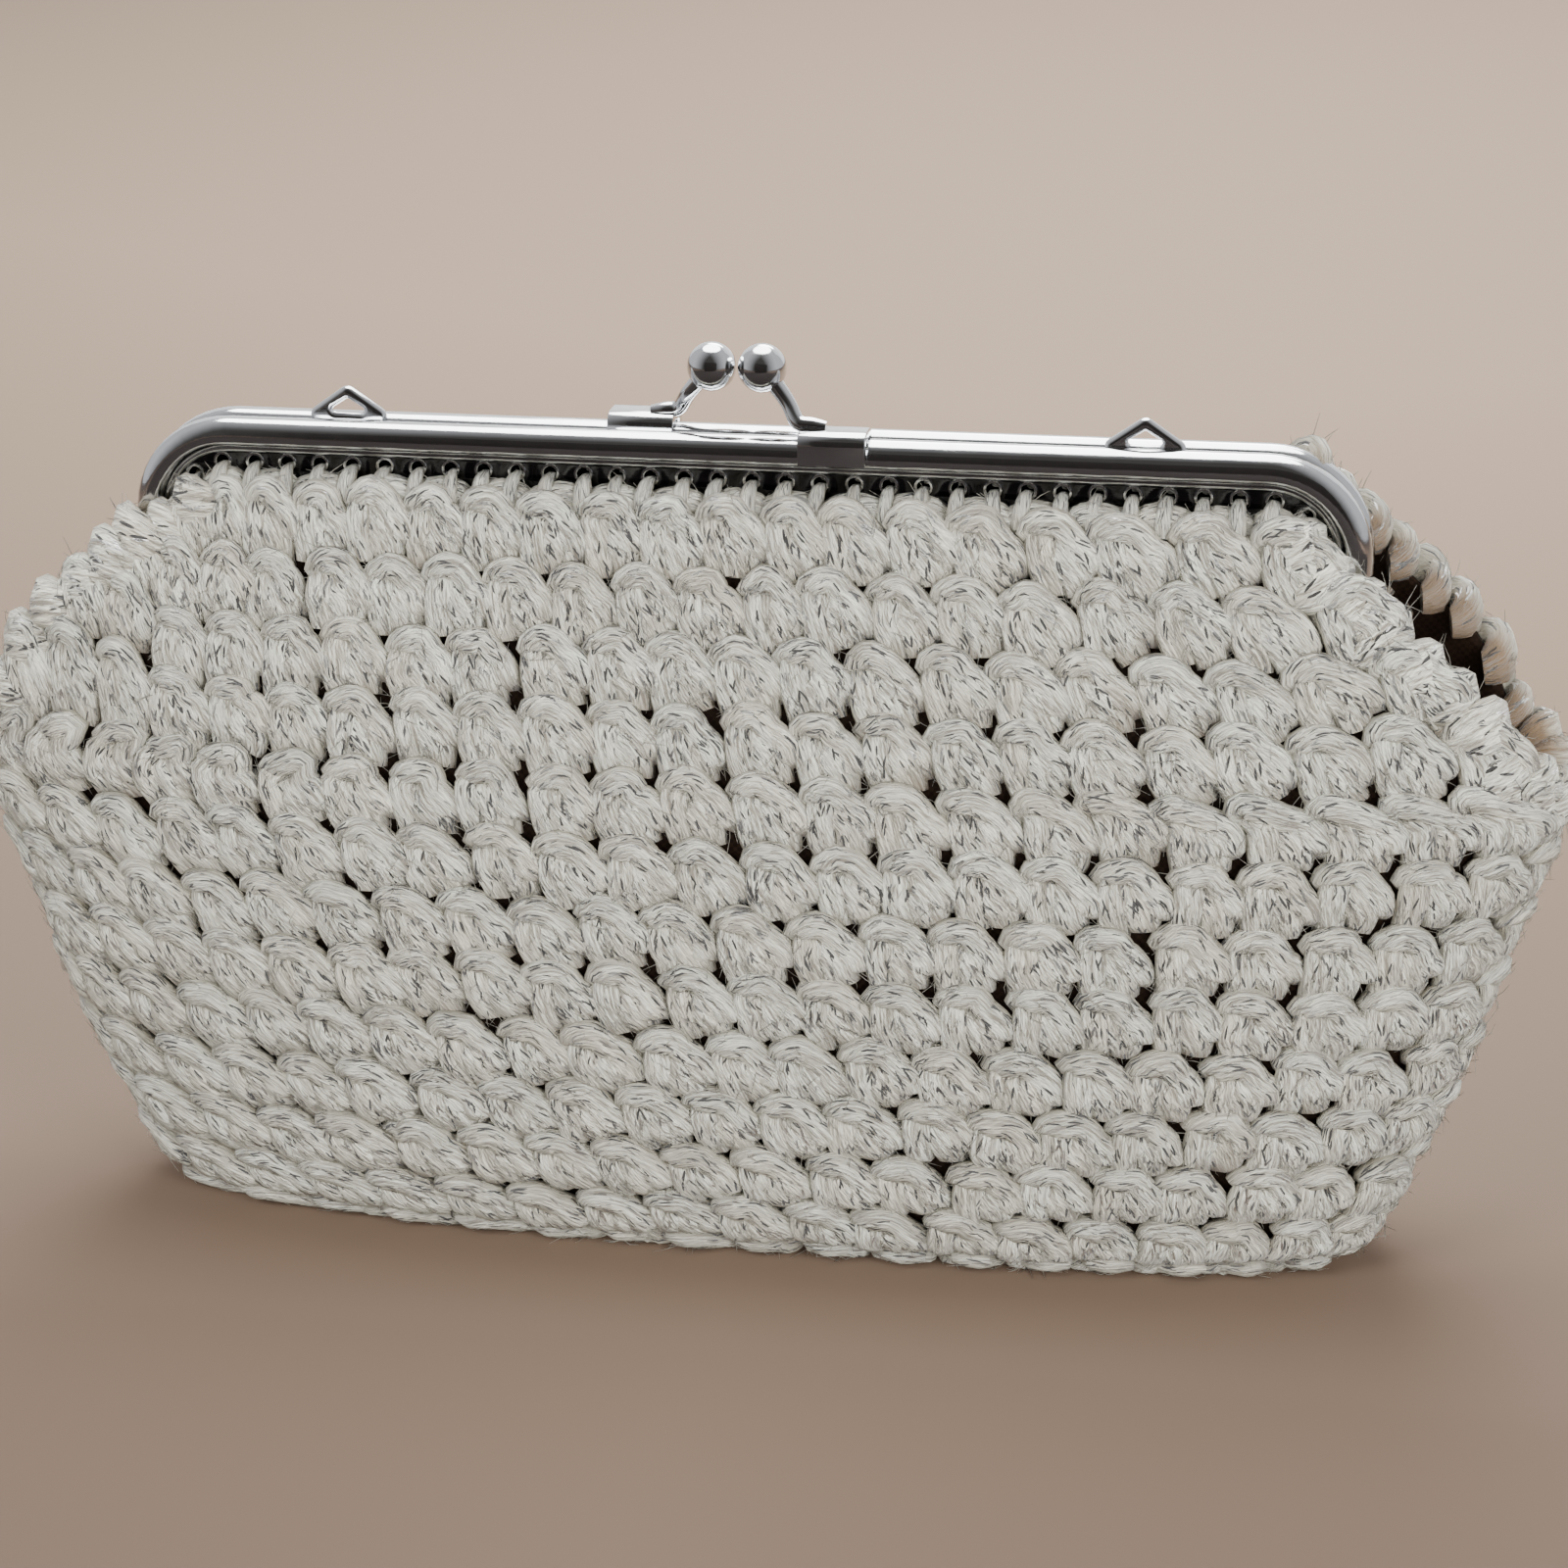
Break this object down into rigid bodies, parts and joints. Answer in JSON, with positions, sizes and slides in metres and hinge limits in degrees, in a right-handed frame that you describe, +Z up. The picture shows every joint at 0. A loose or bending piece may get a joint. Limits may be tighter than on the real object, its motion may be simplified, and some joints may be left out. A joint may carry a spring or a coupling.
{
  "type": "crochet clutch bag",
  "caption": "Clutch bag: a chunky crocheted pouch sewn to a chromed kiss-lock purse frame with ball knobs and small triangular chain loops.",
  "frame": {"origin": "middle of the flat base, where the bag stands on a surface", "axes": "+X along the purse frame to the right seen from the front, +Y from front to back, +Z up"},
  "size_m": [0.2678, 0.0578, 0.1553],
  "materials": {
    "yarn": "soft off-white yarn with fine metallic flecks, crocheted",
    "chrome": "bright chrome plate"
  },
  "bodies": {
    "root": {"crochet_pouch": "yarn", "front_frame": "chrome", "back_frame": "chrome", "front_knob": "chrome", "back_knob": "chrome", "front_chain_loop": "chrome", "back_chain_loop": "chrome", "hinge_pin_left": "chrome", "hinge_pin_right": "chrome"}
  },
  "joints": []
}
